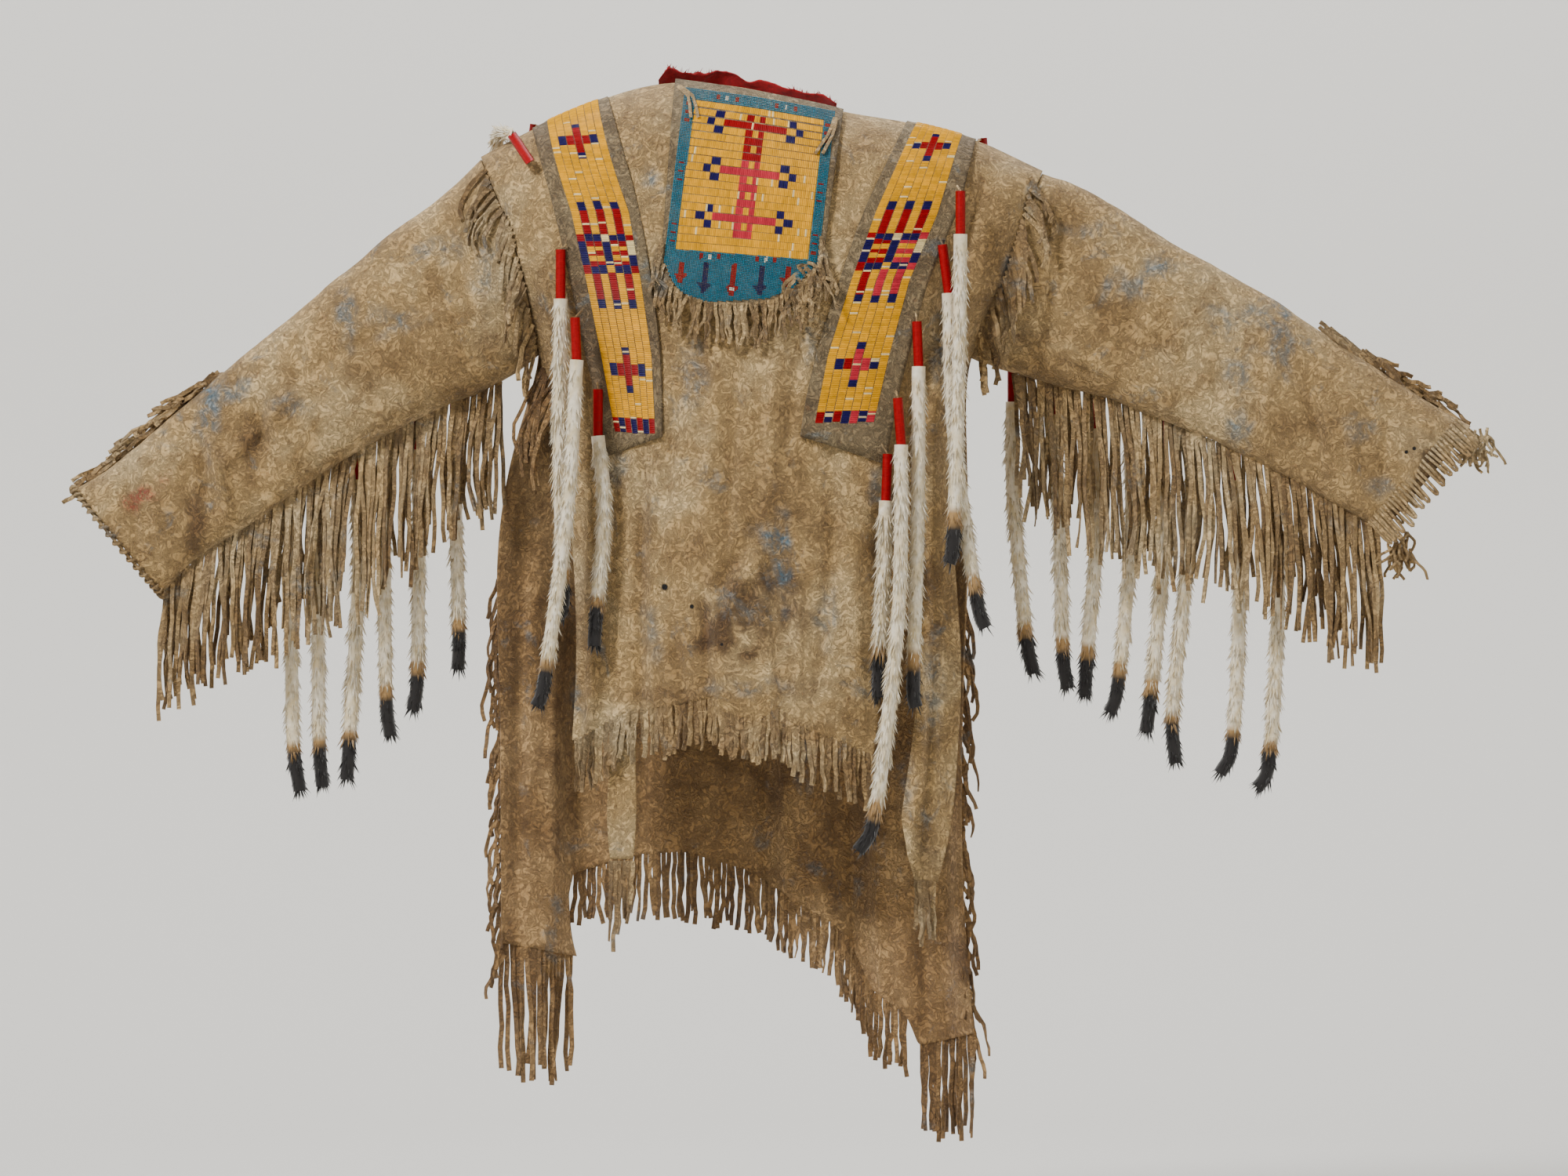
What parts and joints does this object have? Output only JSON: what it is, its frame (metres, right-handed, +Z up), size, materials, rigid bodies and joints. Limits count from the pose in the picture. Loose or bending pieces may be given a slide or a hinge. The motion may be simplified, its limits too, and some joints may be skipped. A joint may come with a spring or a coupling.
{
  "type": "plains war shirt",
  "caption": "Fringed Plains war shirt of tanned hide, open at the sides, with a beaded and quilled bib, quilled shoulder bands and ermine tails, filled out as worn.",
  "frame": {"origin": "inside the neck slit, level with the shoulder line beside it, where the wearer's shoulders carry the shirt", "axes": "+Z up; the front faces -Y; +X towards the sleeve at the right of a front view"},
  "size_m": [1.6253, 0.2517, 1.242],
  "materials": {
    "hide": "matte",
    "inner_hide": "matte",
    "quills": "satin",
    "beads": "gloss",
    "wool": "matte",
    "ermine": "matte"
  },
  "bodies": {
    "root": {"front_panel": "hide", "back_panel": "inner_hide", "sleeve_left": "hide", "sleeve_right": "hide", "band_left": "quills", "band_right": "quills", "bib": "beads", "neck_wool": "wool", "front_tab": "hide", "front_hem_fringe": "hide", "foreleg_fringe": "hide", "left_leg_fringe": "inner_hide", "back_hem_fringe": "inner_hide", "right_leg_fringe": "inner_hide", "tab_fringe": "hide", "side_fringe_left": "inner_hide", "side_fringe_right": "inner_hide", "sleeve_fringe_left": "hide", "sleeve_fringe_right": "hide", "seam_fringe_left": "hide", "seam_fringe_right": "hide", "armpit_fringe": "hide", "crest_fringe_left": "hide", "crest_fringe_right": "hide", "cuff_whip_left": "hide", "cuff_loops_right": "hide", "bib_fringe": "hide", "tie_left": "hide", "tie_right": "hide", "tail_left_1": "ermine", "tail_left_2": "ermine", "tail_left_3": "ermine", "tail_right_1": "ermine", "tail_right_2": "ermine", "tail_right_3": "ermine", "tail_right_4": "ermine", "tail_right_5": "ermine", "tail_sleeve_left_1": "ermine", "tail_sleeve_left_2": "ermine", "tail_sleeve_left_3": "ermine", "tail_sleeve_left_4": "ermine", "tail_sleeve_left_5": "ermine", "tail_sleeve_left_6": "ermine", "tail_sleeve_right_1": "ermine", "tail_sleeve_right_2": "ermine", "tail_sleeve_right_3": "ermine", "tail_sleeve_right_4": "ermine", "tail_sleeve_right_5": "ermine", "tail_sleeve_right_6": "ermine", "tail_sleeve_right_7": "ermine", "tail_sleeve_right_8": "ermine", "tail_shoulder_left_1": "ermine", "tail_shoulder_left_2": "ermine", "tail_shoulder_right_1": "ermine"}
  },
  "joints": []
}
